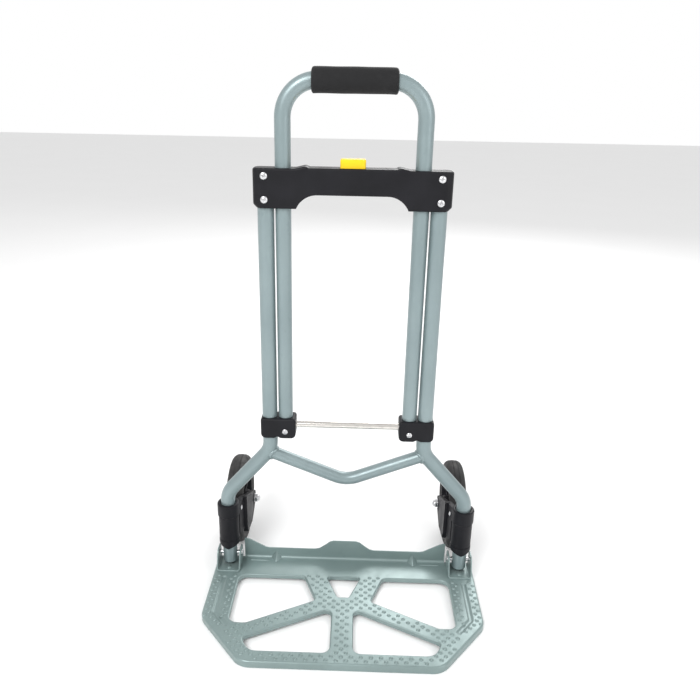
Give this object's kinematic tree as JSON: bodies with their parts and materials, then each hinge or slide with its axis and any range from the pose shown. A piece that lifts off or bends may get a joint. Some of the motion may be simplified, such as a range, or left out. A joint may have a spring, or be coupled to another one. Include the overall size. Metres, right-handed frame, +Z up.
{
  "type": "folding hand truck",
  "caption": "Folding hand truck: bent tube frame, telescoping handle with foam grip and lock button, folding toe plate with openings, and wheels that swing in with it.",
  "frame": {"origin": "centre of the bounding box at floor level", "axes": "+Z up, +Y towards the wheels, +X to the right seen from the toe plate side"},
  "size_m": [0.409, 0.369, 0.751],
  "materials": {
    "tube_paint": "satin silver-grey paint",
    "plate_paint": "satin silver-grey paint on pressed sheet",
    "black_plastic": "moulded black nylon",
    "yellow_plastic": "moulded yellow plastic",
    "bush_plastic": "bearing plastic",
    "zinc": "bright zinc plate",
    "spring_steel": "bare steel",
    "polished_rod": "polished rod",
    "foam": "closed-cell foam",
    "tyre": "moulded rubber"
  },
  "bodies": {
    "frame": {"frame_tube_left": "tube_paint", "frame_tube_right": "tube_paint", "cross_brace": "tube_paint", "brace_welds": "tube_paint", "leg_plugs": "black_plastic", "crossbar_front": "black_plastic", "crossbar_back": "black_plastic", "crossbar_screws": "zinc", "crossbar_nuts": "zinc", "button_spring": "spring_steel", "lock_spring_left": "spring_steel", "lock_spring_right": "spring_steel", "hinge_pin_left": "zinc", "hinge_pin_right": "zinc"},
    "release_button": {"release_button": "yellow_plastic"},
    "lock_bolt_left": {"lock_bolt_left": "spring_steel"},
    "lock_bolt_right": {"lock_bolt_right": "spring_steel"},
    "handle": {"handle_tube": "tube_paint", "foam_grip": "foam", "slider_left": "black_plastic", "slider_right": "black_plastic", "tie_rod": "polished_rod", "slider_screws": "zinc"},
    "toe_plate": {"toe_plate": "plate_paint", "toe_wall": "plate_paint", "hinge_bracket_left": "plate_paint", "hinge_bracket_right": "plate_paint", "bracket_rivets_left": "plate_paint", "bracket_rivets_right": "plate_paint"},
    "swivel_left": {"wheel_bracket_left": "black_plastic", "sleeve_screw_left": "zinc", "axle_bolt_left": "zinc", "cap_nut_left": "zinc", "axle_washers_left": "zinc"},
    "swivel_right": {"wheel_bracket_right": "black_plastic", "sleeve_screw_right": "zinc", "axle_bolt_right": "zinc", "cap_nut_right": "zinc", "axle_washers_right": "zinc"},
    "wheel_left": {"wheel_rim_left": "black_plastic", "hub_bush_left": "bush_plastic", "tyre_left": "tyre"},
    "wheel_right": {"wheel_rim_right": "black_plastic", "hub_bush_right": "bush_plastic", "tyre_right": "tyre"}
  },
  "joints": [
    {"name": "handle_slide", "type": "slide", "parent": "frame", "child": "handle", "axis": [0, 0, 1], "range_m": [0, 0.3]},
    {"name": "button_press", "type": "slide", "parent": "frame", "child": "release_button", "axis": [0, 0, -1], "range_m": [0, 0.006], "stiffness_N_per_m": 400, "springref_m": -0.003, "deforming": ["button_spring"]},
    {"name": "lock_left", "type": "slide", "parent": "frame", "child": "lock_bolt_left", "axis": [1, 0, 0], "range_m": [0, 0.006], "deforming": ["lock_spring_left"]},
    {"name": "lock_right", "type": "slide", "parent": "frame", "child": "lock_bolt_right", "axis": [-1, 0, 0], "range_m": [0, 0.006], "deforming": ["lock_spring_right"]},
    {"name": "toe_fold", "type": "hinge", "parent": "frame", "child": "toe_plate", "pos_m": [0, 0.0195, 0.031], "axis": [-1, 0, 0], "range_deg": [0, 90]},
    {"name": "swivel_left_turn", "type": "hinge", "parent": "frame", "child": "swivel_left", "pos_m": [-0.182, 0.0195, 0.08], "axis": [0, 0, -1], "range_deg": [0, 66]},
    {"name": "swivel_right_turn", "type": "hinge", "parent": "frame", "child": "swivel_right", "pos_m": [0.182, 0.0195, 0.08], "axis": [0, 0, 1], "range_deg": [0, 66]},
    {"name": "wheel_left_spin", "type": "hinge", "parent": "swivel_left", "child": "wheel_left", "pos_m": [-0.178, 0.1115, 0.073], "axis": [1, 0, 0], "continuous": true},
    {"name": "wheel_right_spin", "type": "hinge", "parent": "swivel_right", "child": "wheel_right", "pos_m": [0.178, 0.1115, 0.073], "axis": [1, 0, 0], "continuous": true}
  ],
  "couplings": [
    {"joint": "lock_left", "follows": "button_press", "ratio": 1},
    {"joint": "lock_right", "follows": "button_press", "ratio": 1},
    {"joint": "swivel_left_turn", "follows": "toe_fold", "ratio": 0.73333},
    {"joint": "swivel_right_turn", "follows": "toe_fold", "ratio": 0.73333}
  ]
}
